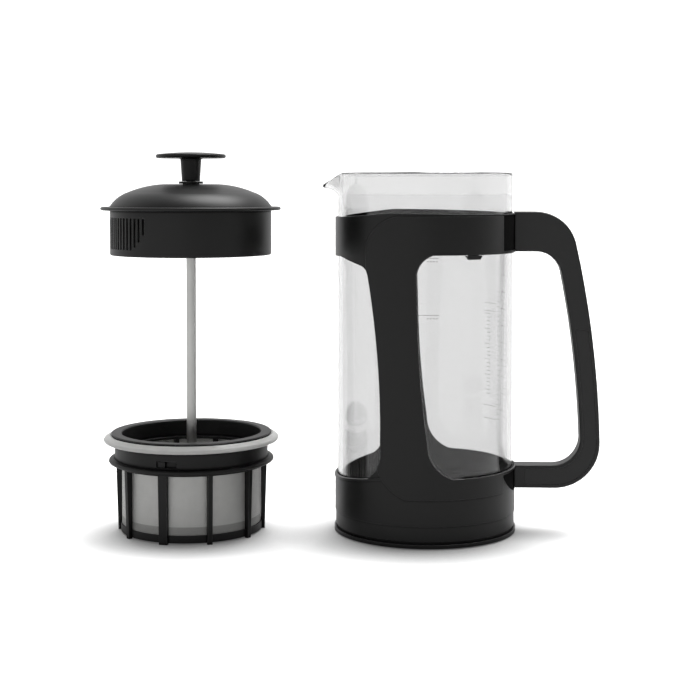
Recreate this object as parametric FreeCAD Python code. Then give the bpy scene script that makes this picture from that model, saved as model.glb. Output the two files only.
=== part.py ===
import FreeCAD
import Part
import os
from math import cos, degrees, hypot, radians, sin, sqrt

from FreeCAD import Vector

# A french press: a glass beaker in a plastic frame with a handle, and its plunger standing beside it.
# Millimetres. The origin is the centre of the carafe's underside on the table, +Z is up, the handle
# points to +X and the spout to -X. Angles on the frame are counted from the front (-Y) towards the handle.

# ---- driving dimensions -------------------------------------------------------------------------

# Beaker
glass_r = 48.4
glass_wall = 2.2
glass_height = 187.2
glass_floor = 2.6
glass_corner_r = 10.0
spout_reach = 9.0
spout_drop = 6.6
spout_depth = 11.5
spout_half_width = 11.0
spout_tip_r = 2.6
spout_wall = 1.7

# Frame: collar, two struts and cup
glass_gap = 0.3
frame_wall = 1.2
panel_rise = 0.5
collar_height = 22.3
rim_show = 21.4
collar_top_fall = -0.017
collar_top_tilt = 0.012
collar_top_dip = 2.8
collar_bottom_dip = 2.1
collar_dip_slope = 0.1
cup_rim_z = 36.8
cup_rim_dip = 5.2
cup_rim_slope = 0.195
cup_lip_rise = 0.4
cup_lip_height = 1.2
cup_seam_z = 12.0
panel_foot_z = 26.0
panel_top_inset = 1.9
strut_deg = -17.3
strut_left_top_deg = -37.3
strut_left_foot_deg = -28.3
strut_right_top_deg = -5.6
strut_right_foot_deg = 1.2
pocket_outer_deg = 56.7
pocket_depth = 0.6
pocket_inset = 1.5

# Floor of the cup, base cap, foot and pad
floor_z = 8.0
floor_thick = 2.0
floor_wall = 1.9
floor_step_in = 2.6
floor_cone_height = 5.0
pad_thick = 1.1
pad_in_r = 18.0
pad_out_r = 36.0
seat_gap = 0.1
cap_wall = 1.5
cap_bottom_z = 0.6
cap_plate = 2.0
cap_flange_rise = 0.4
cap_groove_depth = 0.7
cap_groove_height = 1.6
foot_width = 6.0
foot_step_in = 2.4
foot_set_in = 1.0

# Handle
handle_width = 11.5
handle_top_rise = 0.1
handle_arm_height = 22.1
handle_low_z = 24.1
handle_low_arm_top_z = 36.9
handle_reach = 96.5
handle_grip_thick = 10.9
handle_bow_r = 560.0
handle_corner_out = 10.6
handle_corner_shift = 0.1
handle_upper_r = 22.8
handle_lower_r = 25.0
handle_inner_upper_r = 14.2
handle_inner_lower_r = 15.0
handle_edge_r = 1.2
handle_root_gap = 0.05
cover_margin = 1.9
cover_thick = 1.4
cover_top_z = 112.0
cover_start_out = 4.6
cover_gap = 0.1
handle_shell = 1.6

# Glass lock
lock_deg = 31.3
lock_top_width = 10.4
lock_foot_width = 7.0
lock_height = 2.1
lock_stem_height = 3.6
lock_turn_deg = 4.0
lock_wall = 0.65

# Plunger
plunger_x = -130.0
plunger_y = -6.0
rod_r = 2.72
rod_bottom_z = 5.4
running_gap = 0.06
knob_r = 19.4
knob_top_z = 209.9
knob_rim_height = 2.2
knob_crown = 1.1
knob_stem_r = 5.8
knob_stem_foot_r = 5.0
knob_stem_foot_z = 193.8
insert_r = 3.9
insert_depth = 9.0

# Lid
flange_r = 49.9
flange_thick = 2.0
flange_z = 177.7
dome_r = 44.9
dome_crest_z = 192.2
dome_crest_r = 15.0
dome_well = 0.9
lid_wall = 1.8
skirt_r = 44.6
skirt_height = 24.6
slot_count = 28
slot_pitch_deg = 3.75
slot_first_deg = -115.7
slot_width = 1.7
slot_top_gap = 3.6
slot_length = 17.5
slot_steps = (8.2, 4.4, 1.6)
bushing_flange_r = 6.7
bushing_flange_thick = 1.3
bushing_wall = 1.9
bushing_length = 9.0
clip_r = 7.2
clip_thick = 1.0

# Inner filter with its seal
rim_z = 54.7
rim_thick = 1.6
rim_overhang = 3.8
mouth_r = 38.6
neck_wall = 2.0
seal_r = 48.4
seal_height = 3.0
seal_in_step = 1.4
seal_gap = 0.05
seal_flange_thick = 1.0
seal_flange_step = 2.8
inner_window_top_z = 44.0
inner_mesh_step = 0.8
inner_foot_z = 9.6
inner_ring_height = 3.0
inner_ledge = 1.5
inner_rib_width = 2.6
inner_rib_depth = 2.0
hub_r = 6.5
hub_height = 10.0
spoke_width = 3.0
spoke_count = 5
nut_width = 8.0
nut_height = 3.2
washer_thick = 0.8
washer_r = 6.0

# Outer filter
filter_gap = 0.3
outer_collar_wall = 1.5
outer_collar_top_z = 49.0
outer_flange_z = 38.3
outer_flange_thick = 2.2
outer_flange_step = 3.3
rib_count = 10
rib_first_deg = -103.3
rib_width = 2.6
wide_rib_width = 4.7
rib_top_step = 0.5
rib_foot_step = 2.1
rib_in_step = 0.8
window_top_z = 36.9
outer_ring_z = 0.8
outer_ring_top_z = 4.9
outer_ring_wall = 2.0
outer_floor_thick = 1.6
outer_floor_margin = 4.0
mesh_thick = 0.3
mesh_gap = 0.05
key_count = 3
key_first_deg = -106.3
key_deg = 5.5
key_z = 41.4
key_height = 3.6
key_gap = 0.3
twist_deg = 8.0

# ---- sizes that follow --------------------------------------------------------------------------

frame_in_r = glass_r + glass_gap
frame_r = frame_in_r + frame_wall
panel_r = frame_r + panel_rise
pocket_r = frame_r - pocket_depth
glass_z = floor_z + floor_thick + pad_thick + seat_gap
glass_top_z = glass_z + glass_height
collar_top_z = glass_top_z - rim_show
collar_bottom_z = collar_top_z - collar_height
floor_r = glass_r - floor_step_in
foot_out_r = glass_r - foot_step_in
foot_in_r = foot_out_r - foot_width
handle_top_z = collar_top_z + handle_top_rise
handle_arm_under_z = handle_top_z - handle_arm_height
handle_corner_x = panel_r + handle_corner_out
cover_start_x = panel_r + cover_start_out
neck_r = mouth_r + neck_wall
rim_r = neck_r + rim_overhang
seal_in_r = neck_r + seal_in_step
seal_flange_r = neck_r + seal_flange_step
inner_mesh_r = mouth_r - inner_mesh_step
outer_collar_in_r = neck_r + filter_gap
outer_collar_r = outer_collar_in_r + outer_collar_wall
outer_flange_r = outer_collar_r + outer_flange_step
rib_top_r = outer_collar_r - rib_top_step
rib_in_r = inner_mesh_r + rib_in_step
rib_foot_r = rib_in_r + rib_foot_step
hub_z = inner_foot_z
plunger_at = Vector(plunger_x, plunger_y, 0)
above_all_z = glass_top_z + 20
everything_r = handle_reach * 2

# ---- helpers ------------------------------------------------------------------------------------


def disc(r, z0, z1):
    """A plain cylinder on the vertical axis."""
    return Part.makeCylinder(r, z1 - z0, Vector(0, 0, z0))


def ring(r_in, r_out, z0, z1):
    """A tube on the vertical axis."""
    return disc(r_out, z0, z1).cut(disc(r_in, z0 - 1, z1 + 1))


def path(start, *steps):
    """Edges from start: a step is the next (a, b) point, or (middle, end) for an arc."""
    edges = []
    here = start
    for step in steps:
        if isinstance(step[0], tuple):
            middle, end = step
            edges.append(Part.Arc(Vector(here[0], 0, here[1]), Vector(middle[0], 0, middle[1]),
                                  Vector(end[0], 0, end[1])).toShape())
        else:
            end = step
            edges.append(Part.makeLine(Vector(here[0], 0, here[1]), Vector(end[0], 0, end[1])))
        here = end
    if hypot(here[0] - start[0], here[1] - start[1]) > 1e-6:
        edges.append(Part.makeLine(Vector(here[0], 0, here[1]), Vector(start[0], 0, start[1])))
    return Part.Wire(edges)


def turned(start, *steps):
    """A solid of revolution about the vertical axis from an (r, z) outline."""
    return Part.Face(path(start, *steps)).revolve(Vector(0, 0, 0), Vector(0, 0, 1), 360)


def spin(shape, deg):
    """The shape turned about the vertical axis."""
    turned_shape = shape.copy()
    turned_shape.rotate(Vector(0, 0, 0), Vector(0, 0, 1), deg)
    return turned_shape


def sector(r_in, r_out, z0, z1, first_deg, last_deg):
    """A slice of a tube between two angles about the vertical axis."""
    slice_ = Part.makeCylinder(r_out, z1 - z0, Vector(0, 0, z0), Vector(0, 0, 1), last_deg - first_deg)
    slice_ = slice_.cut(disc(r_in, z0 - 1, z1 + 1))
    return spin(slice_, first_deg)


def spoke(r_in, r_out, width, z0, z1, deg):
    """A straight radial bar."""
    bar = Part.makeBox(r_out - r_in, width, z1 - z0, Vector(r_in, -width / 2, z0))
    return spin(bar, deg)


def below(z, slope=0.0, tilt=0.0):
    """The space under a plane through height z on the axis, rising to the handle and to the back."""
    block = Part.makeBox(2 * everything_r, 2 * everything_r, 2 * above_all_z,
                         Vector(-everything_r, -everything_r, -2 * above_all_z))
    block.rotate(Vector(0, 0, 0), Vector(0, 1, 0), -degrees(slope))
    block.rotate(Vector(0, 0, 0), Vector(1, 0, 0), degrees(tilt))
    block.translate(Vector(0, 0, z))
    return block


def under_edge(side_z, dip, slope):
    """The space under an edge that is level at the sides and dips towards the spout."""
    return below(side_z).common(below(side_z - dip + slope * frame_r, slope))


def under_collar_top():
    """The space under the collar's upper edge, which falls a little to the handle and to the front."""
    level = below(collar_top_z, collar_top_fall, collar_top_tilt)
    dipped = below(collar_top_z - collar_top_dip + collar_dip_slope * frame_r, collar_dip_slope, collar_top_tilt)
    return level.common(dipped)


def facing(deg, start, *steps):
    """A prism cut by an outline of (angle, z) points wrapped on the frame, seen from angle deg."""

    def flat(point):
        return (panel_r * sin(radians(point[0] - deg)), point[1])

    flat_steps = [tuple(flat(p) for p in s) if isinstance(s[0], tuple) else flat(s) for s in steps]
    face = Part.Face(path(flat(start), *flat_steps))
    prism = face.extrude(Vector(0, -2 * panel_r, 0))
    return spin(prism, deg)


def mirrored(shape):
    """The shape's mirror image on the back of the frame."""
    return shape.mirror(Vector(0, 0, 0), Vector(0, 1, 0))


def fused(first, *rest):
    """One solid from several, with the seams between them removed."""
    return first.multiFuse(list(rest)).removeSplitter()


def at_plunger(shape):
    """The shape moved from the carafe's axis to the plunger's."""
    moved = shape.copy()
    moved.translate(plunger_at)
    return moved


# ---- beaker -------------------------------------------------------------------------------------


def spout_trough(offset):
    """The tapering trough that the rim is bent into, moved in by an offset."""
    root_r = spout_half_width - offset
    tip_r = spout_tip_r - offset * 0.6
    root = Vector(-(glass_r - 3 * glass_wall), 0, glass_top_z - spout_depth + spout_half_width)
    tip = Vector(-(glass_r + spout_reach + offset), 0, glass_top_z - spout_drop - glass_wall / 2 + spout_tip_r)
    ends = [Part.Wire(Part.makeCircle(r, at, Vector(-1, 0, 0))) for r, at in ((root_r, root), (tip_r, tip))]
    return Part.makeLoft(ends, True, True)


def spout_top():
    """The space above the rim and above the spout's sloping lip."""
    top = glass_top_z
    edge_x = -(glass_r - glass_wall)
    tip_x = -(glass_r + spout_reach)
    wire = path((0, top), (edge_x, top), (tip_x, top - spout_drop), (tip_x * 2, top - spout_drop),
                (tip_x * 2, above_all_z), (0, above_all_z))
    face = Part.Face(wire)
    face.translate(Vector(0, -everything_r, 0))
    return face.extrude(Vector(0, 2 * everything_r, 0))


def glass_beaker():
    inner_r = glass_r - glass_wall
    inner_corner_r = glass_corner_r - glass_wall
    floor = glass_z + glass_floor
    bend = 1 - sqrt(0.5)
    lip = glass_wall / 2
    wall = turned(
        (0, glass_z), (glass_r - glass_corner_r, glass_z),
        ((glass_r - glass_corner_r * bend, glass_z + glass_corner_r * bend),
         (glass_r, glass_z + glass_corner_r)),
        (glass_r, glass_top_z - lip),
        ((glass_r - lip, glass_top_z), (inner_r, glass_top_z - lip)),
        (inner_r, floor + inner_corner_r),
        ((inner_r - inner_corner_r * bend, floor + inner_corner_r * bend),
         (inner_r - inner_corner_r, floor)),
        (0, floor))
    hollow = disc(inner_r, floor + inner_corner_r, above_all_z)
    bent_lip = spout_trough(0).cut(spout_trough(spout_wall)).cut(hollow).cut(spout_top())
    wall = wall.cut(spout_trough(spout_wall)).cut(spout_top())
    return wall.fuse(bent_lip)


# ---- frame --------------------------------------------------------------------------------------


def strut(r_out):
    """One strut with its flares into the collar and the cup."""
    collar = collar_bottom_z
    rim = cup_rim_z
    left_top = strut_left_top_deg
    left_foot = strut_left_foot_deg
    right_top = strut_right_top_deg
    right_foot = strut_right_foot_deg
    middle_z = (collar + rim) / 2
    outline = facing(
        strut_deg,
        (left_top - 31, collar - 1.5), (left_top - 6.7, collar - 5.9),
        ((left_top - 2.4, collar - 7.9), (left_top, collar - 12)),
        ((left_foot - 1.6, middle_z + 2), (left_foot, rim + 18)),
        ((left_foot - 2.2, rim + 4.6), (left_foot - 10, rim - 1.8)),
        (left_foot - 20, rim - 5), (left_foot - 20, rim - 9),
        (right_foot + 24, rim - 9), (right_foot + 24, rim - 1), (right_foot + 16.5, rim - 0.2),
        ((right_foot + 3.0, rim + 8.7), (right_foot, rim + 18.6)),
        ((right_foot - 4.3, middle_z - 7), (right_foot - 6.1, middle_z + 24)),
        (right_top, collar - 11.2),
        ((right_top + 4.3, collar - 2.9), (right_top + 16, collar + 0.4)),
        (right_top + 16, collar + 4), (left_top - 31, collar + 4))
    return ring(frame_in_r, r_out, cup_seam_z, collar_top_z).common(outline)


def frame_shell(r_out):
    """Collar, struts and cup wall as one thin tube that is open at its windows."""
    tube = ring(frame_in_r, r_out, cup_seam_z, collar_top_z + 4)
    tube = tube.common(under_collar_top())
    collar = tube.cut(under_edge(collar_bottom_z, collar_bottom_dip, collar_dip_slope))
    cup = tube.common(under_edge(cup_rim_z, cup_rim_dip, cup_rim_slope))
    front = strut(r_out)
    return fused(collar, cup, front, mirrored(front))


def raised_panel():
    """The proud layer that runs from the collar's front down the strut and round the cup."""
    layer = frame_shell(panel_r).cut(disc(frame_r - frame_wall / 2, 0, above_all_z))
    foot = panel_foot_z
    top = collar_top_z - panel_top_inset
    end = pocket_outer_deg
    outline = facing(
        strut_deg + 25,
        (strut_left_foot_deg - 4, cup_rim_z + 15),
        ((strut_left_foot_deg + 3.6, foot + 7.2), (strut_left_foot_deg + 16, foot)),
        (end, foot), (end, top), (strut_left_top_deg + 20, top),
        ((strut_left_top_deg + 4, top - 7.6), (strut_left_top_deg - 1.8, collar_bottom_z - 1)),
        (strut_left_top_deg - 1, collar_bottom_z - 14))
    return layer.common(outline)


def handle_root_deg():
    """The angle at which the handle's side meets the frame."""
    return 90 - degrees(handle_width / 2 / frame_r)


def pocket_cut(outline):
    """A shallow recess in the frame's outer face beside a handle root."""
    return ring(pocket_r, panel_r + 5, cup_seam_z, above_all_z).common(outline)


def handle_pockets():
    """The recesses beside the upper and the lower root, on the front side."""
    start = pocket_outer_deg
    end = handle_root_deg()
    foot = collar_bottom_z + pocket_inset
    top = collar_top_z - pocket_inset
    low_top = cup_rim_z - pocket_inset
    upper = facing(70, (start, foot), (end, foot), (end, top), (start, top))
    lower = facing(70, (start, low_top), ((start + 6.5, low_top - 6), (end, handle_low_z)), (end, low_top))
    return [pocket_cut(upper), pocket_cut(lower)]


def lock_notch():
    """The blind notch in the collar's inner face that the lock's stem slides in."""
    half = degrees(lock_top_width / 2 / frame_r)
    start = lock_deg - 90 - half - 1
    end = lock_deg - 90 + half + lock_turn_deg + 1
    top = collar_bottom_z + lock_stem_height + 1
    return sector(frame_in_r - 1, frame_in_r + lock_wall + 0.15, cup_rim_z + 40, top, start, end)


def cup_floor():
    """The floor plate, its cone that centres the beaker and the spigot inside the base cap."""
    spigot_r = floor_r + floor_wall
    top = floor_z + floor_thick
    cone_z = cup_seam_z + 1.5
    cone_top = cone_z + floor_cone_height
    return turned((0, floor_z), (spigot_r, floor_z), (spigot_r, cup_seam_z), (frame_r, cup_seam_z),
                  (frame_r, cone_top), (frame_in_r, cone_top), (floor_r, cone_z), (floor_r, top), (0, top))


def carafe_frame():
    shell = frame_shell(frame_r)
    front = raised_panel()
    lip = ring(frame_in_r, frame_r + cup_lip_rise, cup_seam_z, collar_bottom_z)
    lip = lip.common(under_edge(cup_rim_z, cup_rim_dip, cup_rim_slope))
    lip = lip.cut(under_edge(cup_rim_z - cup_lip_height, cup_rim_dip, cup_rim_slope))
    root = 90 - handle_root_deg() + 0.2
    lip = lip.cut(sector(frame_r, panel_r + 5, 0, above_all_z, -root, root))
    body = fused(shell, front, mirrored(front), lip, cup_floor())
    for pocket in handle_pockets():
        body = body.cut(pocket).cut(mirrored(pocket))
    return body.cut(lock_notch())


def base_cap():
    cap_r = frame_r - cap_flange_rise
    spigot_r = floor_r + floor_wall + seat_gap
    top = cup_seam_z - seat_gap
    plate_top = cap_bottom_z + cap_plate
    groove_top = plate_top + cap_groove_height
    cap = turned((0, cap_bottom_z), (frame_r + cap_flange_rise, cap_bottom_z),
                 (frame_r + cap_flange_rise, plate_top), (cap_r - cap_groove_depth, plate_top),
                 (cap_r - cap_groove_depth, groove_top), (cap_r, groove_top), (cap_r, top),
                 (spigot_r, top), (spigot_r, floor_z - seat_gap),
                 (spigot_r - cap_wall, floor_z - seat_gap), (spigot_r - cap_wall, plate_top), (0, plate_top))
    return cap.cut(ring(foot_in_r, foot_out_r, 0, cap_bottom_z + foot_set_in))


def foot_ring():
    return ring(foot_in_r + seat_gap, foot_out_r - seat_gap, 0, cap_bottom_z + foot_set_in - seat_gap)


def glass_pad():
    z = floor_z + floor_thick
    return ring(pad_in_r, pad_out_r, z, z + pad_thick)


def glass_lock_tab():
    """A trapezoid under the collar with a thin stem that slides in the collar's notch."""
    top = collar_bottom_z - glass_gap
    degree = degrees(1 / panel_r)
    half_top = lock_top_width / 2 * degree
    half_foot = lock_foot_width / 2 * degree
    outline = facing(lock_deg, (lock_deg - half_top, top), (lock_deg + half_top, top),
                     (lock_deg + half_foot, top - lock_height), (lock_deg - half_foot, top - lock_height))
    head = ring(frame_in_r + 0.1, panel_r - 0.1, top - lock_height, top).common(outline)
    stem = sector(frame_in_r + 0.1, frame_in_r + lock_wall - 0.1, top - lock_height,
                  collar_bottom_z + lock_stem_height, lock_deg - 90 - half_foot, lock_deg - 90 + half_foot)
    return fused(head, stem)


# ---- handle -------------------------------------------------------------------------------------


def bowed(upper, upper_r, lower, lower_r, bow_r):
    """A large arc that touches two corner circles: its start, middle and end."""
    span = hypot(lower[0] - upper[0], lower[1] - upper[1])
    to_upper = bow_r - upper_r
    to_lower = bow_r - lower_r
    along = (to_upper ** 2 - to_lower ** 2 + span ** 2) / (2 * span)
    aside = sqrt(to_upper ** 2 - along ** 2)
    ux = (lower[0] - upper[0]) / span
    uz = (lower[1] - upper[1]) / span
    centre = (upper[0] + ux * along + uz * aside, upper[1] + uz * along - ux * aside)

    def touch(circle):
        far = hypot(circle[0] - centre[0], circle[1] - centre[1])
        return tuple(centre[i] + (circle[i] - centre[i]) * bow_r / far for i in (0, 1))

    start = touch(upper)
    end = touch(lower)
    middle = touch(((start[0] + end[0]) / 2, (start[1] + end[1]) / 2))
    return start, middle, end


def rounded_loop(root_x, top_z, upper_x, upper_r, foot_z, lower_x, lower_r):
    """A D shape that opens towards the beaker, with a bowed far side that reaches lower_x."""
    upper = (upper_x, top_z - upper_r)
    lower = (lower_x - lower_r, foot_z + lower_r)
    start, middle, end = bowed(upper, upper_r, lower, lower_r, handle_bow_r)
    d = sqrt(0.5)
    upper_middle = (upper[0] + upper_r * d, upper[1] + upper_r * d)
    lower_middle = (lower[0] + lower_r * d, lower[1] - lower_r * d)
    return Part.Face(path((root_x, top_z), (upper[0], top_z), (upper_middle, start), (middle, end),
                          (lower_middle, (lower[0], foot_z)), (root_x, foot_z)))


def handle_face(margin=0.0):
    """The loop's side outline, two arms and the grip, set in by a margin."""
    root_x = frame_r * cos(radians(90 - handle_root_deg())) - 1
    outside = rounded_loop(root_x, handle_top_z - margin, handle_corner_x, handle_upper_r - margin,
                           handle_low_z + margin, handle_reach - margin, handle_lower_r - margin)
    inside = rounded_loop(root_x - 1, handle_arm_under_z + margin, handle_corner_x + handle_corner_shift,
                          handle_inner_upper_r + margin, handle_low_arm_top_z - margin,
                          handle_reach - handle_grip_thick + margin, handle_inner_lower_r + margin)
    return outside.cut(inside)


def cover_region(margin):
    """The stretch of the loop that the cover closes, set in from the outline by a margin."""
    half = handle_grip_thick
    middle_x = handle_reach - 1.1 * half
    top = cover_top_z - (margin - cover_margin)
    keep = path((cover_start_x + margin - cover_margin, -5), (everything_r, -5), (everything_r, top - half),
                (middle_x + 2 * half, top - half), ((middle_x, top), (middle_x - 2 * half, top - half)),
                (middle_x - 2 * half, top - 2 * half), (cover_start_x + margin - cover_margin, top - 2 * half))
    return handle_face(margin).common(Part.Face(keep))


def slab(face, y0, y1):
    """A flat region drawn in the XZ plane made into a plate between two depths."""
    plate = face.copy()
    plate.translate(Vector(0, y0, 0))
    return plate.extrude(Vector(0, y1 - y0, 0))


def handle():
    half = handle_width / 2
    body = slab(handle_face(), -half, half)
    long_edges = [e for e in body.Edges if abs(e.BoundBox.YLength) < 1e-6 and e.BoundBox.XMax > frame_r + 1]
    body = body.makeFillet(handle_edge_r, long_edges)
    recess = slab(cover_region(cover_margin), -half - 1, -half + cover_thick)
    core = slab(cover_region(cover_margin + handle_shell / 2), -half, half - handle_shell)
    return body.cut(recess).cut(core).cut(disc(frame_r + handle_root_gap, 0, above_all_z))


def handle_cover():
    half = handle_width / 2
    return slab(cover_region(cover_margin + cover_gap), -half + 0.15, -half + cover_thick - seat_gap)


# ---- plunger ------------------------------------------------------------------------------------


def plunger_rod():
    return at_plunger(disc(rod_r, rod_bottom_z, knob_stem_foot_z + insert_depth))


def knob():
    rim_top = knob_top_z - knob_crown
    under = rim_top - knob_rim_height
    half = knob_rim_height / 2
    foot = knob_stem_foot_z
    socket_top = foot + insert_depth + 1
    edge = knob_r - half
    dome_r = (edge ** 2 + knob_crown ** 2) / (2 * knob_crown)
    half_way_z = knob_top_z - dome_r + sqrt(dome_r ** 2 - edge ** 2 / 4)
    return at_plunger(turned(
        (insert_r, foot), (knob_stem_foot_r, foot), (knob_stem_r, under - 0.6), (knob_stem_r + 1.5, under),
        (edge, under), ((knob_r, under + half), (edge, rim_top)),
        ((edge / 2, half_way_z), (0, knob_top_z)), (0, socket_top),
        (insert_r, socket_top)))


def knob_insert():
    z = knob_stem_foot_z
    return at_plunger(ring(rod_r + 0.03, insert_r - 0.03, z + 0.2, z + insert_depth))


def rod_nut():
    flats = nut_width / 2 / cos(radians(30))
    corners = [Vector(flats * cos(radians(60 * i)), flats * sin(radians(60 * i)), 0) for i in range(7)]
    top = hub_z - washer_thick - 0.1
    hexagon = Part.Face(Part.makePolygon(corners)).extrude(Vector(0, 0, nut_height))
    hexagon.translate(Vector(0, 0, top - nut_height))
    return at_plunger(hexagon.cut(disc(rod_r + 0.03, 0, hub_z)))


def rod_washer():
    return at_plunger(ring(rod_r + 0.1, washer_r, hub_z - washer_thick - 0.05, hub_z - 0.05))


def inner_filter_frame():
    foot = inner_foot_z
    ring_top = foot + inner_ring_height
    rim_under = rim_z - rim_thick
    seal_floor = rim_under - seal_height
    ledge_top = inner_window_top_z + inner_ledge
    rib_r = inner_mesh_r - mesh_thick - mesh_gap
    cage_in_r = rib_r - inner_rib_depth
    collar = turned((cage_in_r, inner_window_top_z), (neck_r, inner_window_top_z),
                    (neck_r, seal_floor - seal_flange_thick), (seal_flange_r, seal_floor - seal_flange_thick),
                    (seal_flange_r, seal_floor), (seal_in_r - seal_gap, seal_floor),
                    (seal_in_r - seal_gap, rim_under), (rim_r - 0.5, rim_under), (rim_r, rim_under + 0.5),
                    (rim_r, rim_z - 0.5), (rim_r - 0.5, rim_z), (mouth_r + 0.6, rim_z), (mouth_r, rim_z - 0.6),
                    (mouth_r, ledge_top), (cage_in_r, ledge_top))
    cage = ring(cage_in_r, rib_r, foot, ring_top)
    pieces = [cage, disc(hub_r, foot, foot + hub_height)]
    pitch = 360 / rib_count
    for i in range(rib_count):
        bar = spoke(cage_in_r - 1, rib_r + 1, inner_rib_width, foot, inner_window_top_z + inner_ledge / 2,
                    rib_first_deg + pitch * i)
        pieces.append(bar.common(ring(cage_in_r, rib_r, foot, ledge_top)))
    for i in range(spoke_count):
        pieces.append(spoke(0, rib_r - 0.5, spoke_width, foot, foot + inner_ring_height / 2,
                            rib_first_deg + 360 / spoke_count * i))
    for i in range(key_count):
        start = key_first_deg + 360 / key_count * i
        key = sector(neck_r - 0.5, outer_collar_r - 0.3, key_z + key_gap, key_z + key_height - key_gap,
                     start, start + key_deg)
        pieces.append(key)
    wall = ring(mouth_r, neck_r, key_z - 2, inner_window_top_z + 1)
    frame = fused(collar, wall, *pieces)
    return at_plunger(frame.cut(disc(rod_r + 0.03, 0, rim_z)))


def inner_filter_mesh():
    foot = inner_foot_z + inner_ring_height / 4
    return at_plunger(ring(inner_mesh_r - mesh_thick, inner_mesh_r, foot, inner_window_top_z - mesh_gap))


def inner_floor_mesh():
    z = inner_foot_z + inner_ring_height / 2 + mesh_gap
    cage_in_r = inner_mesh_r - mesh_thick - mesh_gap - inner_rib_depth
    return at_plunger(ring(hub_r + mesh_gap, cage_in_r - mesh_gap, z, z + mesh_thick))


def lip_seal():
    """A soft ring with a lip that bends up and out to wipe the beaker's wall."""
    top = rim_z - rim_thick - seal_gap
    foot = top - seal_height + 2 * seal_gap
    return at_plunger(turned(
        (seal_in_r, foot), (seal_flange_r + 0.2, foot), (seal_r - 1.2, foot - 0.4), ((seal_r, foot + 0.6), (seal_r - 0.5, foot + 1.9)),
        (rim_r + 0.7, top + 0.6), (rim_r + 0.3, top), (seal_in_r, top)))


def outer_filter_frame():
    flange_top = outer_flange_z + outer_flange_thick
    half = outer_flange_thick / 2
    collar = turned((outer_collar_in_r, window_top_z), (rib_top_r, window_top_z),
                    (rib_top_r, outer_flange_z), (outer_flange_r - half, outer_flange_z),
                    ((outer_flange_r, outer_flange_z + half), (outer_flange_r - half, flange_top)),
                    (outer_collar_r, flange_top + 0.4), (outer_collar_r, outer_collar_top_z),
                    (outer_collar_in_r, outer_collar_top_z))
    collar = collar.fuse(ring(rib_in_r, outer_collar_in_r + 0.2, window_top_z, window_top_z + 1.2))
    for i in range(key_count):
        start = key_first_deg + 360 / key_count * i - 1
        slot = sector(neck_r, outer_flange_r + 1, key_z, key_z + key_height, start, start + key_deg + twist_deg + 2)
        way_in = sector(neck_r, outer_collar_r + 1, key_z, outer_collar_top_z + 1,
                        start + twist_deg + 0.5, start + key_deg + twist_deg + 2)
        way_in = way_in.common(disc(outer_collar_r - 0.6, 0, above_all_z))
        collar = collar.cut(slot).cut(way_in)
    cone = turned((rib_in_r, 0), (rib_foot_r, 0), (rib_top_r, window_top_z + 1), (rib_in_r, window_top_z + 1))
    pitch = 360 / rib_count
    ribs = []
    for i in range(rib_count):
        width = wide_rib_width if i == 0 else rib_width
        ribs.append(cone.common(spoke(rib_in_r - 5, rib_top_r + 5, width, 0, window_top_z + 1,
                                      rib_first_deg + pitch * i)))
    floor_z1 = outer_ring_z + outer_floor_thick
    floor_r_in = rib_in_r - outer_floor_margin
    bottom = ring(rib_in_r - mesh_gap, rib_in_r + outer_ring_wall / 4, outer_ring_z, outer_ring_top_z)
    bottom = bottom.fuse(ring(floor_r_in, rib_in_r, outer_ring_z, floor_z1))
    spokes = [spoke(0, rib_in_r - 1, spoke_width, outer_ring_z, floor_z1, rib_first_deg + 360 / spoke_count * i)
              for i in range(spoke_count)]
    return at_plunger(fused(collar, *ribs, bottom, *spokes))


def outer_filter_mesh():
    r = rib_in_r - 2 * mesh_gap
    foot = outer_ring_z + outer_floor_thick + mesh_gap
    return at_plunger(ring(r - mesh_thick, r, foot, window_top_z + 1.2))


def outer_floor_mesh():
    z = outer_ring_z + outer_floor_thick + mesh_gap
    return at_plunger(disc(rib_in_r - 3 * mesh_gap - mesh_thick, z, z + mesh_thick))


# ---- lid ----------------------------------------------------------------------------------------


def lid_bushing():
    sleeve_r = rod_r + running_gap + bushing_wall
    top = knob_stem_foot_z - seat_gap
    seat = top - bushing_flange_thick
    bushing = fused(ring(rod_r + running_gap, bushing_flange_r, seat, top),
                    ring(rod_r + running_gap, sleeve_r, top - bushing_length, top))
    groove_z = clip_seat_z()
    groove = ring(sleeve_r - 0.6, sleeve_r + 1, groove_z - clip_thick, groove_z)
    return at_plunger(bushing.cut(groove))


def clip_seat_z():
    """The height of the dome's underside at the bushing, less a running gap."""
    return dome_crest_z - dome_well - lid_wall - glass_gap


def bushing_clip():
    sleeve_r = rod_r + running_gap + bushing_wall
    z = clip_seat_z()
    clip = ring(sleeve_r - 0.55, clip_r, z - clip_thick + 0.05, z - 0.05)
    return at_plunger(clip.cut(Part.makeBox(clip_r * 2, 2, 10, Vector(0, -1, z - 5))))


def lid_dome():
    hole_r = rod_r + running_gap + bushing_wall + running_gap
    crest = dome_crest_z
    well = crest - dome_well
    top = flange_z + flange_thick
    wall = lid_wall
    half = flange_thick / 2
    knee = (dome_r * 0.775, crest - 4.5)
    skirt_in = skirt_r - lid_wall
    dome = turned(
        (hole_r, well), ((dome_crest_r * 0.5, well + 0.2), (dome_crest_r, crest)),
        ((dome_r * 0.59, crest - 1.7), knee),
        ((dome_r * 0.93, crest - 8.6), (dome_r, top)),
        (flange_r - half, top), ((flange_r, top - half), (flange_r - half, flange_z)),
        (skirt_in, flange_z),
        ((dome_r * 0.9, crest - 9.2 - wall / 2), (knee[0] - wall * 0.4, knee[1] - wall)),
        ((dome_r * 0.58, crest - 1.7 - wall), (dome_crest_r, crest - wall)),
        (hole_r, well - wall))
    return at_plunger(dome)


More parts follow.
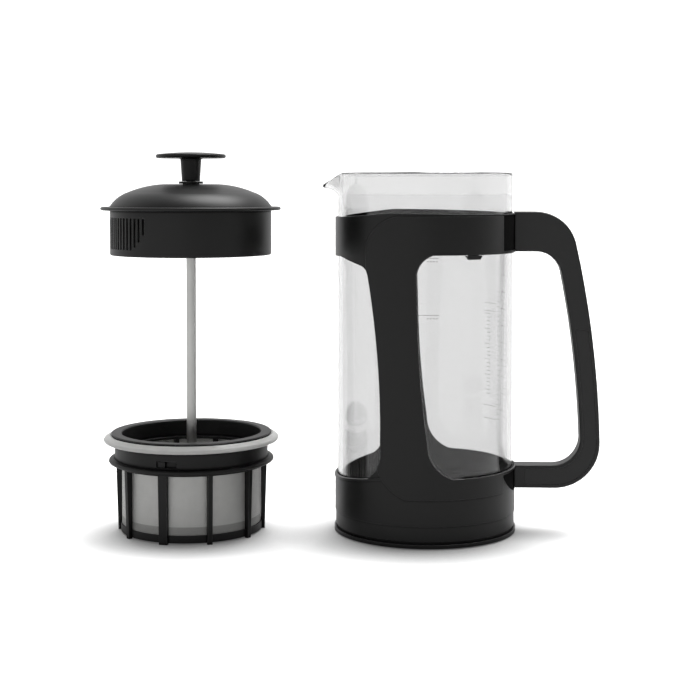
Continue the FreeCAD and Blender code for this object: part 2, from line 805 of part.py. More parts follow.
def lid_skirt():
    foot = flange_z - skirt_height
    top = flange_z - mesh_gap
    inner = skirt_r - lid_wall
    skirt = turned((inner, foot + 0.4), (inner + 0.4, foot), (skirt_r - 0.4, foot), (skirt_r, foot + 0.4),
                   (skirt_r, top), (inner, top))
    slots = []
    slot_top = flange_z - slot_top_gap
    half = slot_width / 2
    for i in range(slot_count):
        from_end = min(i, slot_count - 1 - i)
        shorter = slot_steps[from_end] if from_end < len(slot_steps) else 0
        length = slot_length - shorter
        low = slot_top - length
        deg = slot_first_deg - slot_pitch_deg * i
        bar = spoke(inner - 2, skirt_r + 2, slot_width, low + half, slot_top - half, 0)
        ends = [Part.makeCylinder(half, lid_wall + 4, Vector(inner - 2, 0, z), Vector(1, 0, 0))
                for z in (low + half, slot_top - half)]
        slots.append(spin(bar.multiFuse(ends), deg))
    return at_plunger(skirt.cut(slots))


# ---- build --------------------------------------------------------------------------------------

PIECES = [glass_beaker, carafe_frame, base_cap, foot_ring, glass_pad, glass_lock_tab, handle, handle_cover,
          plunger_rod, knob, knob_insert, rod_nut, rod_washer, inner_filter_frame, inner_filter_mesh,
          inner_floor_mesh, lip_seal, outer_filter_frame, outer_filter_mesh, outer_floor_mesh,
          lid_bushing, bushing_clip, lid_dome, lid_skirt]


def build():
    os.makedirs("parts", exist_ok=True)
    for piece in PIECES:
        shape = piece()
        shape.exportStep("parts/" + piece.__name__ + ".step")
        print(piece.__name__, shape.isValid(), len(shape.Solids), round(shape.Volume / 1000, 2), "cm3")


build()
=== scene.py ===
import math

import bmesh
import bpy
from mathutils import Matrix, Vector


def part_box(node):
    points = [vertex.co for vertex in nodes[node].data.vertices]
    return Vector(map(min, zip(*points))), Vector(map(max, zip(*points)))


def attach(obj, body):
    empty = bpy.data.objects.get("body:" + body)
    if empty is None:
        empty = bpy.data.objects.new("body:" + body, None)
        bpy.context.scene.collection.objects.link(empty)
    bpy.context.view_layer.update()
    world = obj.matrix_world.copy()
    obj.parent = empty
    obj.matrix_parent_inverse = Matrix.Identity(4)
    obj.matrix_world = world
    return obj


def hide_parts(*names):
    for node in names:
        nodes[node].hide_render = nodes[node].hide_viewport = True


MM = 0.001

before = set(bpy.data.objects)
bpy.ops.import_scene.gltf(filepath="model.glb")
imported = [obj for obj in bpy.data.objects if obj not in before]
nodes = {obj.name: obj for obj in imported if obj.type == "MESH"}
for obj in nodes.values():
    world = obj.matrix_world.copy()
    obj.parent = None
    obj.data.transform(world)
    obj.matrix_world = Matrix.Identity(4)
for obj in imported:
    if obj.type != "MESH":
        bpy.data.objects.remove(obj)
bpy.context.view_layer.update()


def middle(node):
    """The upright axis of a round CAD node, as x and y."""
    low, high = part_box(node)
    return (low[0] + high[0]) / 2, (low[1] + high[1]) / 2


PRESS_X, PRESS_Y = middle("outer_filter_frame")
COLLAR_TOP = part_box("carafe_frame")[1][2]
HANDLE_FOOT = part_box("handle")[0][2]


# ---------------------------------------------------------------- finishes

# Painted shade in grooves, seams and slots: how far the occlusion looks, and where the shade starts and
# where it is full.
CREASE_REACH = 1.4 * MM
CREASE_OPEN = 0.93
CREASE_SHUT = 0.55
CREASE_SAMPLES = 6

# The floors of the recesses lie on one round wall and are painted in shade; a point counts as in them
# within these limits.
RECESS_R = 49.3 * MM
RECESS_BELOW = 0.3 * MM
RECESS_ABOVE = 0.25 * MM
RECESS_START_X = 20 * MM
RECESS_TOP = COLLAR_TOP - 2.2 * MM
RECESS_FOOT = HANDLE_FOOT - 0.5 * MM

EDGE_ROUND = 0.35 * MM
EDGE_FLAT = 0.98
EDGE_SHARP = 0.7
# Share of the painted edge highlight in the colour of sharp edges.
EDGE_HIGHLIGHT_SHARE = 0.8
EDGE_GLOSS = 0.08
COOLING_PATCH = 24 * MM
GLOSS_DRIFT = 0.05
GRAIN_GLOSS = 0.04
# Colour of the highlight painted along sharp edges.
PAINTED_EDGE_HIGHLIGHT = "#6a6a6a"
# Near-black colour and sheen of the shade painted into grooves, seams and recesses.
PAINTED_SHADE_BLACK = "#060606"
PAINTED_SHADE_SHEEN = 0.08
PLASTIC_IOR = 1.45

DRAWN_STRETCH = 0.12
DRAWN_WAVE = 9 * MM
DRAWN_DEPTH = 0.012 * MM
GLASS_IOR = 1.473

GROUND_RING_SQUEEZE = 40.0
TURNED_RING_SQUEEZE = 30.0

CLOTH_PITCH = 0.45 * MM
CLOTH_OPEN = 0.35
OUTER_CLOTH_R = 38.4 * MM
INNER_CLOTH_R = 37.7 * MM
OUTER_HEM_Z = 9.4 * MM
HEM_FADE = 0.3 * MM


def linear(hex_code):
    """An sRGB hex colour as the linear one that Blender wants."""
    channels = [int(hex_code[i : i + 2], 16) / 255 for i in (1, 3, 5)]
    return tuple(c / 12.92 if c <= 0.04045 else ((c + 0.055) / 1.055) ** 2.4 for c in channels) + (1.0,)


def add(tree, kind, inputs=None, **settings):
    """Adds a node, sets it, and fills its sockets with plain values or with other nodes' outputs."""
    made = tree.nodes.new("ShaderNode" + kind)
    for name, value in settings.items():
        setattr(made, name, value)
    for socket, value in (inputs or {}).items():
        if isinstance(value, bpy.types.NodeSocket):
            tree.links.new(value, made.inputs[socket])
        else:
            made.inputs[socket].default_value = value
    return made


def bare(name):
    """A new material with an empty tree, and the object's own coordinates in metres."""
    material = bpy.data.materials.new(name)
    material.use_nodes = True
    material.node_tree.nodes.clear()
    place = add(material.node_tree, "TexCoord").outputs["Object"]
    return material, material.node_tree, place


def surface(tree, shader):
    """Ends a material's tree with its shader."""
    add(tree, "OutputMaterial", {"Surface": shader})


def share_of(tree, value, start, end):
    """How far a value has gone from a start to an end, held between 0 and 1."""
    return add(tree, "MapRange", {"Value": value, "From Min": start, "From Max": end}).outputs["Result"]


def reckon(tree, first, second, operation="ADD"):
    """Two values put together by one piece of arithmetic: added, unless another is named."""
    return add(tree, "Math", {0: first, 1: second}, operation=operation).outputs[0]


def spread(tree, value, low, high):
    """A 0 to 1 pattern stretched between two other values."""
    stretched = add(tree, "MapRange", {"Value": value, "To Min": low, "To Max": high})
    return stretched.outputs["Result"]


def squeezed(tree, place, share):
    """The same coordinates with the height scaled, so that a pattern runs in rings or streaks."""
    return add(tree, "Mapping", {"Vector": place, "Scale": (1.0, 1.0, share)}).outputs["Vector"]


def patch(tree, place, size, detail=2.0):
    """Soft cloudy noise whose lumps are about size metres across."""
    return add(tree, "TexNoise", {"Vector": place, "Scale": 1 / size, "Detail": detail}).outputs["Fac"]


def blend_colours(tree, amount, first, second):
    """The first colour at 0, the second at 1."""
    mix = add(tree, "Mix", {0: amount, 6: first, 7: second}, data_type="RGBA")
    return mix.outputs[2]


def crease_shade(tree):
    """How deep in a groove, seam or slot a point lies, as a mask for painted shade: 0 on open faces, 1 at
    the bottom.
    """
    reach = {"Distance": CREASE_REACH}
    # The mask of painted shade comes from occlusion close round the point.
    opened = add(tree, "AmbientOcclusion", reach, samples=CREASE_SAMPLES).outputs["AO"]
    return share_of(tree, opened, CREASE_OPEN, CREASE_SHUT)


def handle_recess_shade(tree, place):
    """A mask of painted shade for the floors of the four recesses beside the handle's two roots."""
    apart = add(tree, "SeparateXYZ", {"Vector": place}).outputs
    flat = squeezed(tree, place, 0.0)
    radius = add(tree, "VectorMath", {0: flat}, operation="LENGTH").outputs["Value"]
    mask = 1.0
    for value, limit, side in (
        (radius, RECESS_R - RECESS_BELOW, "GREATER_THAN"), (radius, RECESS_R + RECESS_ABOVE, "LESS_THAN"),
        (apart["X"], RECESS_START_X, "GREATER_THAN"), (apart["Z"], RECESS_TOP, "LESS_THAN"),
        (apart["Z"], RECESS_FOOT, "GREATER_THAN"),
    ):
        mask = reckon(tree, mask, reckon(tree, value, limit, side), "MULTIPLY")
    return mask


def moulded_plastic(name, colour, worn, roughness, grain, depth,
                    edge=EDGE_ROUND, index=PLASTIC_IOR, shade_recesses=False):
    """Black polypropylene injection moulded in a spark-eroded tool: a fine satin grain that
    breaks up reflections, slow drifts of gloss where the melt cooled unevenly, and edges
    rubbed a little smoother by hands and the dishwasher, and painted paler along them as a
    highlight. Grooves, seams and recesses are painted with near-black shade that returns almost no light."""
    material, tree, place = bare(name)
    rounded = add(tree, "Bevel", {"Radius": edge}, samples=4).outputs["Normal"]
    true = add(tree, "NewGeometry").outputs["Normal"]
    agree = add(tree, "VectorMath", {0: rounded, 1: true}, operation="DOT_PRODUCT").outputs["Value"]
    edge_polish_and_highlight = share_of(tree, agree, EDGE_FLAT, EDGE_SHARP)
    cooling = patch(tree, place, size=COOLING_PATCH)
    grit = patch(tree, place, size=grain, detail=4.0)
    gloss = spread(tree, cooling, roughness - GLOSS_DRIFT, roughness + GLOSS_DRIFT)
    gloss = reckon(tree, gloss, spread(tree, grit, -GRAIN_GLOSS, GRAIN_GLOSS))
    gloss = reckon(tree, gloss, spread(tree, edge_polish_and_highlight, 0.0, EDGE_GLOSS), "SUBTRACT")
    skin = add(tree, "Bump", {"Strength": 1.0, "Distance": depth, "Height": grit, "Normal": rounded})
    tone = blend_colours(tree, cooling, linear(colour), linear(worn))
    # Sharp edges are painted paler as a highlight.
    tone = blend_colours(tree, spread(tree, edge_polish_and_highlight, 0.0, EDGE_HIGHLIGHT_SHARE), tone, linear(PAINTED_EDGE_HIGHLIGHT))
    shader = add(tree, "BsdfPrincipled", {
        "Base Color": tone, "Roughness": gloss, "IOR": index, "Normal": skin.outputs["Normal"],
    })
    # A near-black shader painted in as shade where the mask says a point lies deep.
    painted_shade = add(tree, "BsdfPrincipled", {
        "Base Color": linear(PAINTED_SHADE_BLACK), "Roughness": spread(tree, grit, 0.75, 0.95),
        "IOR": PLASTIC_IOR, "Specular IOR Level": PAINTED_SHADE_SHEEN,
    })
    shade_mask = crease_shade(tree)
    if shade_recesses:
        # The recess floors beside the handle roots are painted in shade too.
        shade_mask = reckon(tree, shade_mask, handle_recess_shade(tree, place), "MAXIMUM")
    skin_and_painted_shade = add(tree, "MixShader", {0: shade_mask, 1: shader.outputs["BSDF"], 2: painted_shade.outputs["BSDF"]})
    surface(tree, skin_and_painted_shade.outputs["Shader"])
    return material


def blown_glass(name):
    """Borosilicate glass drawn as tube and flame-worked: clear, slightly wavy along its
    length where it was drawn, so straight things behind it wander by a hair."""
    material, tree, place = bare(name)
    drawn = squeezed(tree, place, DRAWN_STRETCH)
    waves = patch(tree, drawn, size=DRAWN_WAVE, detail=1.0)
    skin = add(tree, "Bump", {"Strength": 1.0, "Distance": DRAWN_DEPTH, "Height": waves})
    shader = add(tree, "BsdfPrincipled", {
        "Base Color": linear("#e1e1e1"), "Roughness": 0.0, "IOR": GLASS_IOR,
        "Transmission Weight": 1.0, "Normal": skin.outputs["Normal"],
    })
    surface(tree, shader.outputs["BSDF"])
    return material


def fired_enamel(name):
    """Grey ceramic ink screen printed on the glass and fired: thin, matt, slightly speckled,
    and so sparse that the glass shows through."""
    material, tree, place = bare(name)
    speck = patch(tree, place, size=0.5 * MM)
    tone = blend_colours(tree, speck, linear("#c8c8c8"), linear("#d6d6d6"))
    shader = add(tree, "BsdfPrincipled", {
        "Base Color": tone, "Roughness": spread(tree, speck, 0.55, 0.75), "IOR": 1.5,
    })
    clear = add(tree, "BsdfTransparent")
    cover = spread(tree, speck, 0.3, 0.55)
    ink = add(tree, "MixShader", {0: cover, 1: clear.outputs["BSDF"], 2: shader.outputs["BSDF"]})
    surface(tree, ink.outputs["Shader"])
    return material


def milky_silicone(name):
    """Uncoloured platinum-cured silicone: milky and translucent, glossy where the mould was
    polished, with faint dust and handling marks."""
    material, tree, place = bare(name)
    haze = patch(tree, place, size=6 * MM)
    dust = patch(tree, place, size=0.8 * MM, detail=4.0)
    skin = add(tree, "Bump", {"Strength": 0.5, "Distance": 0.02 * MM, "Height": dust})
    shader = add(tree, "BsdfPrincipled", {
        "Base Color": blend_colours(tree, haze, linear("#c4c4c2"), linear("#d4d4d2")),
        "Roughness": spread(tree, haze, 0.28, 0.42), "IOR": 1.41,
        "Subsurface Weight": 0.6, "Subsurface Radius": (1.0, 1.0, 1.0), "Subsurface Scale": 2.5 * MM,
        "Transmission Weight": 0.25, "Normal": skin.outputs["Normal"],
    })
    surface(tree, shader.outputs["BSDF"])
    return material


def ground_stainless(name):
    """Stainless bar ground between wheels: fine scratches that run round the bar, so its
    highlights stretch along it."""
    material, tree, place = bare(name)
    rings = squeezed(tree, place, GROUND_RING_SQUEEZE)
    scratch = patch(tree, rings, size=8 * MM, detail=5.0)
    stain = patch(tree, place, size=15 * MM)
    skin = add(tree, "Bump", {"Strength": 0.6, "Distance": 0.01 * MM, "Height": scratch})
    shader = add(tree, "BsdfPrincipled", {
        "Base Color": blend_colours(tree, stain, linear("#b4b4b2"), linear("#c6c6c4")),
        "Metallic": 1.0, "Roughness": spread(tree, scratch, 0.24, 0.42),
        "Anisotropic": 0.4, "Normal": skin.outputs["Normal"],
    })
    surface(tree, shader.outputs["BSDF"])
    return material


def woven_steel(name, radius=0.0, flat=False, hem=0.0):
    """Stainless wire cloth: warp and weft of bright wire with fine square holes. Real pitch
    is about 0.25 mm, too fine to show, so it is drawn coarser. Below the hem, where the
    cloth is doubled over, it is drawn darker."""
    material, tree, place = bare(name)
    apart = add(tree, "SeparateXYZ", {"Vector": place})
    east = reckon(tree, apart.outputs["X"], PRESS_X, "SUBTRACT")
    north = reckon(tree, apart.outputs["Y"], PRESS_Y, "SUBTRACT")
    if flat:
        along, across = east, north
    else:
        turn = reckon(tree, north, east, "ARCTAN2")
        along = reckon(tree, turn, radius, "MULTIPLY")
        across = apart.outputs["Z"]
    wires = []
    for position in (along, across):
        phase = reckon(tree, position, 2 * math.pi / CLOTH_PITCH, "MULTIPLY")
        wave = add(tree, "Math", {0: phase}, operation="COSINE").outputs[0]
        wires.append(share_of(tree, wave, -1.0, 1.0))
    height = reckon(tree, wires[0], wires[1], "MAXIMUM")
    cover = spread(tree, share_of(tree, height, 0.35, 0.6), CLOTH_OPEN, 1.0)
    mottle = patch(tree, place, size=5 * MM, detail=3.0)
    # Darker below the hem.
    below_hem = share_of(tree, apart.outputs["Z"], hem, hem - HEM_FADE)
    bright = blend_colours(tree, mottle, linear("#bcbcba"), linear("#d0d0ce"))
    wire_colour = blend_colours(tree, below_hem, bright, linear("#a0a09e"))
    skin = add(tree, "Bump", {"Strength": 0.5, "Distance": 0.08 * MM, "Height": height})
    wire = add(tree, "BsdfPrincipled", {
        "Base Color": wire_colour, "Metallic": 0.65, "Roughness": spread(tree, mottle, 0.42, 0.58),
        "Normal": skin.outputs["Normal"],
    })
    gap = add(tree, "BsdfTransparent")
    cloth = add(tree, "MixShader", {0: cover, 1: gap.outputs["BSDF"], 2: wire.outputs["BSDF"]})
    surface(tree, cloth.outputs["Shader"])
    return material


def soft_rubber(name, colour, roughness):
    """Moulded elastomer: dead matt, picks up dust."""
    material, tree, place = bare(name)
    dust = patch(tree, place, size=1.2 * MM, detail=4.0)
    skin = add(tree, "Bump", {"Strength": 0.6, "Distance": 0.04 * MM, "Height": dust})
    shader = add(tree, "BsdfPrincipled", {
        "Base Color": blend_colours(tree, dust, linear(colour), linear("#2a2a2a")),
        "Roughness": spread(tree, dust, roughness - 0.08, roughness + 0.06), "IOR": 1.5,
        "Normal": skin.outputs["Normal"],
    })
    surface(tree, shader.outputs["BSDF"])
    return material


def turned_brass(name):
    """Free-cutting brass off a lathe: yellow, with fine turning rings."""
    material, tree, place = bare(name)
    rings = squeezed(tree, place, TURNED_RING_SQUEEZE)
    cut = patch(tree, rings, size=6 * MM, detail=4.0)
    shader = add(tree, "BsdfPrincipled", {
        "Base Color": blend_colours(tree, cut, linear("#c8a45a"), linear("#d9b96e")),
        "Metallic": 1.0, "Roughness": spread(tree, cut, 0.2, 0.35),
    })
    surface(tree, shader.outputs["BSDF"])
    return material


# The frame's recesses beside the handle are painted in shade.
FRAME_BLACK = moulded_plastic(
    "satin black polypropylene, frame", "#080808", "#0d0d0d", roughness=0.33, grain=0.5 * MM,
    depth=0.01 * MM, index=1.37, shade_recesses=True)
HANDLE_BLACK = moulded_plastic(
    "satin black polypropylene, handle", "#151515", "#1c1c1c", roughness=0.45, grain=0.5 * MM,
    depth=0.014 * MM)
COVER_BLACK = moulded_plastic(
    "smoother black polypropylene, handle cover", "#121212", "#181818", roughness=0.36, grain=0.4 * MM,
    depth=0.008 * MM, edge=0.25 * MM)
LID_BLACK = moulded_plastic(
    "satin black polypropylene, lid", "#090909", "#0e0e0e", roughness=0.4, grain=0.5 * MM,
    depth=0.012 * MM, index=1.38)
KNOB_BLACK = moulded_plastic(
    "satin black polypropylene, knob", "#050505", "#0a0a0a", roughness=0.4, grain=0.5 * MM,
    depth=0.012 * MM, index=1.32)
FILTER_BLACK = moulded_plastic(
    "black polypropylene, filter", "#0c0c0c", "#111111", roughness=0.45, grain=0.6 * MM,
    depth=0.016 * MM, index=1.36)
FOOT_RUBBER = soft_rubber("black elastomer, foot", "#141414", roughness=0.78)
PAD_SILICONE = soft_rubber("dark silicone, glass pad", "#1c1c1c", roughness=0.66)
SEAL = milky_silicone("milky silicone, lip seal")
ROD_STEEL = ground_stainless("ground stainless, rod")
CLIP_STEEL = ground_stainless("stainless, nut and clip")
BRASS = turned_brass("turned brass, insert")
OUTER_MESH = woven_steel("woven stainless, outer filter", OUTER_CLOTH_R, hem=OUTER_HEM_Z)
INNER_MESH = woven_steel("woven stainless, inner filter", INNER_CLOTH_R)
FLOOR_MESH = woven_steel("woven stainless, filter floors", flat=True)
GLASS = blown_glass("borosilicate glass, beaker")
ENAMEL = fired_enamel("fired grey enamel, level marks")

FINISHES = {
    "carafe_frame": FRAME_BLACK, "base_cap": FRAME_BLACK, "glass_lock_tab": FRAME_BLACK,
    "handle": HANDLE_BLACK, "handle_cover": COVER_BLACK,
    "foot_ring": FOOT_RUBBER, "glass_pad": PAD_SILICONE, "glass_beaker": GLASS,
    "lid_dome": LID_BLACK, "lid_skirt": LID_BLACK, "lid_bushing": LID_BLACK, "bushing_clip": CLIP_STEEL,
    "knob": KNOB_BLACK, "knob_insert": BRASS, "plunger_rod": ROD_STEEL,
    "rod_nut": CLIP_STEEL, "rod_washer": CLIP_STEEL,
    "inner_filter_frame": FILTER_BLACK, "outer_filter_frame": FILTER_BLACK,
    "inner_filter_mesh": INNER_MESH, "outer_filter_mesh": OUTER_MESH,
    "inner_floor_mesh": FLOOR_MESH, "outer_floor_mesh": FLOOR_MESH, "lip_seal": SEAL,
}
for name, finish in FINISHES.items():
    slots = nodes[name].data.materials
    slots.clear()
    slots.append(finish)


# ---------------------------------------------------------------- the glass


def piece_from(name, build, finish, body):
    """A smooth-shaded mesh piece that rides on a body and takes the finish it is given."""
    mesh = bpy.data.meshes.new(name)
    shape = bmesh.new()
    build(shape)
    bmesh.ops.recalc_face_normals(shape, faces=shape.faces)
    shape.to_mesh(mesh)
    shape.free()
    mesh.shade_smooth()
    mesh.materials.append(finish)
    piece = bpy.data.objects.new(name, mesh)
    bpy.context.scene.collection.objects.link(piece)
    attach(piece, body)
    return piece


glass_low, glass_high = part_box("glass_beaker")
GLASS_FOOT = glass_low[2]
GLASS_RIM = glass_high[2]
GLASS_R = (glass_high[1] - glass_low[1]) / 2
WALL = 2.2 * MM
FLOOR = 2.6 * MM
CORNER = 10 * MM
SPOUT_LENGTH = 11.6 * MM
SPOUT_BEND = math.radians(86)
SPOUT_STRETCH = 0.95
SPOUT_HALF = 15 * MM
SPOUT_START = GLASS_RIM - WALL / 2 - SPOUT_LENGTH
SPOUT_STEPS = 16
SPOUT_PINCH = 0.15
MIDDLE_R = GLASS_R - WALL / 2
LEVEL_R = 20 * MM
STRAIGHT_HEIGHTS = (40, 80, 120, 160)
CORNER_STEPS = 10
INNER_CORNER_STEPS = 8
COLUMNS = 256
SLOPE_STEP = 0.1 * MM


def arc(centre_r, centre_z, radius, start, end, steps):
    """Points of an arc in a profile, as (radius from the axis, height)."""
    turns = [math.radians(start + (end - start) * i / steps) for i in range(steps + 1)]
    return [(centre_r + radius * math.cos(t), centre_z + radius * math.sin(t)) for t in turns]


def beaker_profile():
    """The wall of the beaker from the middle of its foot, up outside, over the rim and down inside."""
    lip = WALL / 2
    heights = [GLASS_FOOT + height * MM for height in STRAIGHT_HEIGHTS]
    heights += [SPOUT_START + SPOUT_LENGTH * i / SPOUT_STEPS for i in range(-1, SPOUT_STEPS)]
    heights = [z for z in heights if z < GLASS_RIM - lip]
    outside = [(0.0, GLASS_FOOT), (LEVEL_R, GLASS_FOOT)]
    outside += arc(GLASS_R - CORNER, GLASS_FOOT + CORNER, CORNER, -90, 0, CORNER_STEPS)
    outside += [(GLASS_R, z) for z in heights]
    rim = arc(GLASS_R - lip, GLASS_RIM - lip, lip, 0, 180, CORNER_STEPS)
    inner = CORNER - WALL
    inside = [(GLASS_R - WALL, z) for z in reversed(heights)]
    inside += arc(GLASS_R - CORNER, GLASS_FOOT + FLOOR + inner, inner, 0, -90, INNER_CORNER_STEPS)
    inside += [(LEVEL_R, GLASS_FOOT + FLOOR), (0.0, GLASS_FOOT + FLOOR)]
    return outside + rim + inside


def bent(rise):
    """How far out and how far up the middle of the wall ends, once it is bent outwards into
    the spout, for a point at a height above the bend."""
    out = up = 0.0
    for step in range(SPOUT_STEPS):
        share = min(rise / SPOUT_LENGTH, 1.0) * (step + 0.5) / SPOUT_STEPS
        turn = SPOUT_BEND * math.sqrt(share)
        out += math.sin(turn) * rise * SPOUT_STRETCH / SPOUT_STEPS
        up += math.cos(turn) * rise * SPOUT_STRETCH / SPOUT_STEPS
    return out, up


def wall_middle(turn, z):
    """The middle of the wall after the spout has been pulled out of its hot rim."""
    x, y = MIDDLE_R * math.cos(turn), MIDDLE_R * math.sin(turn)
    rise = z - SPOUT_START
    if x > 0 or abs(y) > SPOUT_HALF or rise <= 0:
        return Vector((x, y, z))
    width = (1 - (y / SPOUT_HALF) ** 2) ** 2
    out, up = bent(rise)
    pinch = 1 - SPOUT_PINCH * width * rise / SPOUT_LENGTH
    return Vector((x - width * out, y * pinch, z + width * (up - rise)))


def pulled(turn, z, radius):
    """A point of the glass: its wall keeps one thickness round the bends of the spout."""
    if z <= SPOUT_START - WALL:
        return Vector((radius * math.cos(turn), radius * math.sin(turn), z))
    side = SLOPE_STEP / MIDDLE_R
    around = wall_middle(turn + side, z) - wall_middle(turn - side, z)
    upward = wall_middle(turn, z + SLOPE_STEP) - wall_middle(turn, z - SLOPE_STEP)
    return wall_middle(turn, z) + around.cross(upward).normalized() * (radius - MIDDLE_R)


def blow_beaker(shape):
    """The profile turned round the axis, with its upper rows pulled into the spout."""
    profile = beaker_profile()
    rows = []
    for radius, z in profile:
        if radius == 0.0:
            rows.append([shape.verts.new((0, 0, z))])
            continue
        row = []
        for column in range(COLUMNS):
            turn = 2 * math.pi * column / COLUMNS
            row.append(shape.verts.new(pulled(turn, z, radius)))
        rows.append(row)
    for low, high in zip(rows, rows[1:]):
        for column in range(COLUMNS):
            after = (column + 1) % COLUMNS
            ring = [low[column % len(low)], low[after % len(low)],
                    high[after % len(high)], high[column % len(high)]]
            shape.faces.new(list(dict.fromkeys(ring)))


beaker = piece_from("beaker_glass", blow_beaker, GLASS, "beaker")
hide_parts("glass_beaker")


# ---------------------------------------------------------------- level marks

PRINT_GAP = 0.03 * MM
PRINT_THICK = 0.05 * MM
INK_IN_R = GLASS_R + PRINT_GAP
INK_OUT_R = INK_IN_R + PRINT_THICK
BAR_STEP_DEG = 2
FINE = 0.3 * MM
BOLD = 0.35 * MM
FRAME_LINE = 0.25 * MM
FIGURE_HEIGHT = 0.6 * MM
FIGURE_DROP = 2.0
FIGURE_START_DEG = 80.5
FIGURE_WIDTH_DEG = 1.1
FIGURE_PITCH_DEG = 2.2
FIGURE_COUNT = 4


def printed_bar(shape, start, end, z, thick):
    """A thin printed bar wrapped on the outside of the glass between two angles."""
    steps = max(2, round(abs(end - start) / BAR_STEP_DEG))
    rings = []
    for step in range(steps + 1):
        turn = math.radians(start + (end - start) * step / steps)
        ring = []
        low, high = z - thick / 2, z + thick / 2
        for radius, height in ((INK_IN_R, low), (INK_OUT_R, low), (INK_OUT_R, high), (INK_IN_R, high)):
            ring.append(shape.verts.new((radius * math.cos(turn), radius * math.sin(turn), height)))
        rings.append(ring)
    for near, far in zip(rings, rings[1:]):
        for corner in range(4):
            after = (corner + 1) % 4
            shape.faces.new([near[corner], near[after], far[after], far[corner]])
    shape.faces.new(rings[0])
    shape.faces.new(list(reversed(rings[-1])))


def print_scale(shape):
    """A brewing scale on the back of the glass, in three columns of bars. A column has a count
    and a top and a pitch in millimetres; its bars start at an angle, end at a second one, and
    every so many of them at a third."""
    for count, top, pitch, start, end, long_end, every, thick in (
        (22, 118, 2.2, 35.5, 39.5, 41.5, 4, FINE),
        (27, 131, 2.8, 22.5, 26.5, 26.5, 1, FINE),
        (27, 141, 3.2, 8.0, 15.0, 20.0, 3, BOLD),
    ):
        for step in range(count):
            printed_bar(shape, start, end if step % every else long_end, (top - pitch * step) * MM, thick)
    for z in (124.0, 119.5, 65.0, 57.5):
        printed_bar(shape, 28.5, 42.0, z * MM, FRAME_LINE)


def print_fill_line(shape):
    """Two level lines beside the strut, each with a row of short bars in place of figures."""
    for z, end in ((148.6, 89.0), (114.9, 96.0)):
        printed_bar(shape, 79.6, end, z * MM, BOLD)
        for step in range(FIGURE_COUNT):
            start = FIGURE_START_DEG + FIGURE_PITCH_DEG * step
            printed_bar(shape, start, start + FIGURE_WIDTH_DEG, (z - FIGURE_DROP) * MM, FIGURE_HEIGHT)


for name, build in (("brewing_scale", print_scale), ("fill_line", print_fill_line)):
    piece_from(name, build, ENAMEL, "beaker")


# ---------------------------------------------------------------- floor, light and camera


FLOOR_HALF = 40.0
FLOOR_GLOW = 0.25
FLOOR_TO_LENS = "#f4f4f4"
FLOOR_THROUGH_GLASS = "#c0c0c0"
FLOOR_TO_THINGS = "#a2a2a2"
# Shadow painted on the floor from occlusion: its reach, lean, samples, and how dark it gets.
FLOOR_SHADE_REACH = 38 * MM
FLOOR_SHADE_LEAN = {"X": 0.0, "Y": 0.6, "Z": 0.8}
FLOOR_SHADE_SAMPLES = 12
FLOOR_SHADE_SHUT = 0.4
FLOOR_SHADE_DARKEST = 0.35

# Each lamp is a direction, the cosines where it starts and where it is full, and its strength.
OVERHEAD_LAMP = ((0.26, 0.2, 0.945), 0.91, 0.985, 10.0)
LEFT_FRONT_LAMP = ((-0.56, -0.82, 0.1), 0.6, 0.98, 0.55)
BACK_FILL = ((-0.1, 0.55, 0.83), 0.72, 0.93, 3.4)
BACK_START = -0.5
BACK_FULL = 0.3
BACK_LEVEL = 0.75
FRONT_LEVEL = 0.18
DIFFUSE_LEVEL = 0.4
SEEN_LEVEL = 1.4


def seen_directly(tree):
    """1 for what the lens sees straight on or through the glass, 0 for what only lights things."""
    rays = add(tree, "LightPath").outputs
    return reckon(tree, rays["Is Camera Ray"], rays["Is Transmission Ray"], "MAXIMUM")


def white_floor():
    """A plain white floor, wide enough to meet the white surround far behind. It is less
    bright to the things that stand on it than to the lens, and carries a painted shadow close
    in front of them, leaning away from the light behind."""
    mesh = bpy.data.meshes.new("studio_floor")
    corners = [(x * FLOOR_HALF, y * FLOOR_HALF, 0) for x, y in ((-1, -1), (1, -1), (1, 1), (-1, 1))]
    mesh.from_pydata(corners, [], [(0, 1, 2, 3)])
    material, tree, place = bare("matt white paper, floor")
    tooth = patch(tree, place, size=1.5 * MM, detail=2.0)
    rays = add(tree, "LightPath").outputs
    through, direct = rays["Is Transmission Ray"], rays["Is Camera Ray"]
    shade = blend_colours(tree, through, linear(FLOOR_TO_THINGS), linear(FLOOR_THROUGH_GLASS))
    shade = blend_colours(tree, direct, shade, linear(FLOOR_TO_LENS))
    # A shadow painted on the floor from occlusion that leans towards the back; it darkens both the
    # floor's colour and its glow.
    lean = add(tree, "CombineXYZ", FLOOR_SHADE_LEAN).outputs["Vector"]
    reach = {"Distance": FLOOR_SHADE_REACH, "Normal": lean}
    opened = add(tree, "AmbientOcclusion", reach, samples=FLOOR_SHADE_SAMPLES).outputs["AO"]
    painted_shadow_brightness = spread(tree, share_of(tree, opened, FLOOR_SHADE_SHUT, 1.0), FLOOR_SHADE_DARKEST, 1.0)
    glow = reckon(tree, painted_shadow_brightness, FLOOR_GLOW, "MULTIPLY")
    paper = add(tree, "BsdfPrincipled", {
        "Base Color": blend_colours(tree, painted_shadow_brightness, linear("#000000"), shade),
        "Roughness": spread(tree, tooth, 0.85, 0.95), "Specular IOR Level": 0.0,
        "Emission Color": linear("#ffffff"), "Emission Strength": glow,
    })
    surface(tree, paper.outputs["BSDF"])
    mesh.materials.append(material)
    floor = bpy.data.objects.new("studio_floor", mesh)
    bpy.context.scene.collection.objects.link(floor)


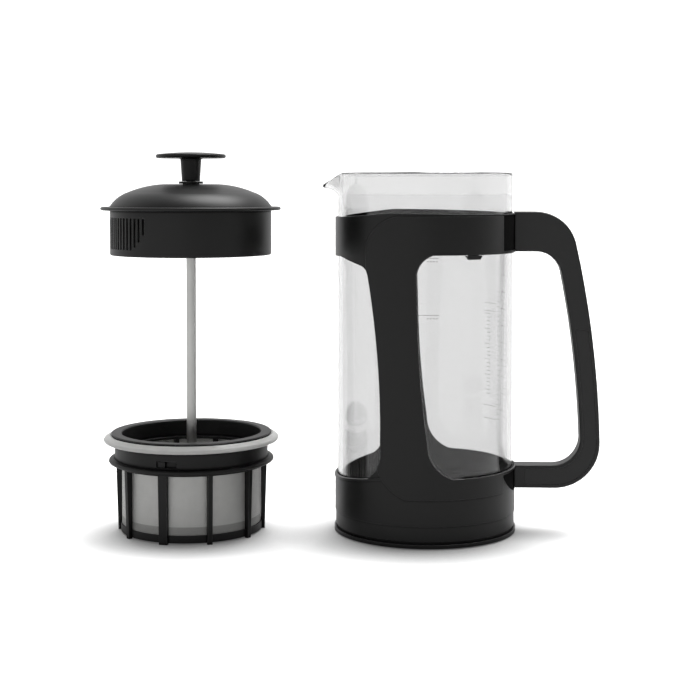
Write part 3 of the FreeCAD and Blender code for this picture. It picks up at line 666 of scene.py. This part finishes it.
def surround():
    """A white surround for the lens. For the rest of the light it is a studio that is white
    behind and dim in front, with a soft lamp overhead, a weak one from the left in front,
    and a broad fill from above and behind that only matt surfaces take."""
    world = bpy.data.worlds.new("studio surround")
    world.use_nodes = True
    tree = world.node_tree
    tree.nodes.clear()
    generated = add(tree, "TexCoord").outputs["Generated"]

    def ramp(value, start, end, strength):
        rise = {"Value": value, "From Min": start, "From Max": end, "To Max": strength}
        return add(tree, "MapRange", rise, interpolation_type="SMOOTHSTEP").outputs["Result"]

    def lamp(direction, start, end, strength):
        facing = add(tree, "VectorMath", {0: generated, 1: direction}, operation="DOT_PRODUCT")
        return ramp(facing.outputs["Value"], start, end, strength)

    depth = add(tree, "SeparateXYZ", {"Vector": generated}).outputs["Y"]
    glow = ramp(depth, BACK_START, BACK_FULL, BACK_LEVEL)
    for part in (FRONT_LEVEL, lamp(*OVERHEAD_LAMP), lamp(*LEFT_FRONT_LAMP)):
        glow = reckon(tree, glow, part)
    fill = reckon(tree, DIFFUSE_LEVEL, lamp(*BACK_FILL))
    matt = add(tree, "LightPath").outputs["Is Diffuse Ray"]
    level = add(tree, "Mix", {0: matt, 2: glow, 3: fill}).outputs[0]
    level = add(tree, "Mix", {0: seen_directly(tree), 2: level, 3: SEEN_LEVEL}).outputs[0]
    back = add(tree, "Background", {"Color": linear("#ffffff"), "Strength": level})
    add(tree, "OutputWorld", {"Surface": back.outputs["Background"]})
    bpy.context.scene.world = world


white_floor()
surround()

LENS = 74.11
SENSOR = 36
SHIFT_X = 0.0015
SHIFT_Y = -0.1779
CAMERA_AT = (-0.00437, -0.80238, 0.19019)
PITCH = 1.5
YAW = 2.71
camera_data = bpy.data.cameras.new("product_camera")
camera_data.lens = LENS
camera_data.sensor_width = SENSOR
camera_data.shift_x = SHIFT_X
camera_data.shift_y = SHIFT_Y
camera = bpy.data.objects.new("product_camera", camera_data)
camera.location = CAMERA_AT
camera.rotation_euler = (math.radians(90 - PITCH), 0.0, math.radians(YAW))
bpy.context.scene.collection.objects.link(camera)
bpy.context.scene.camera = camera
bpy.context.scene.view_settings.view_transform = "Standard"
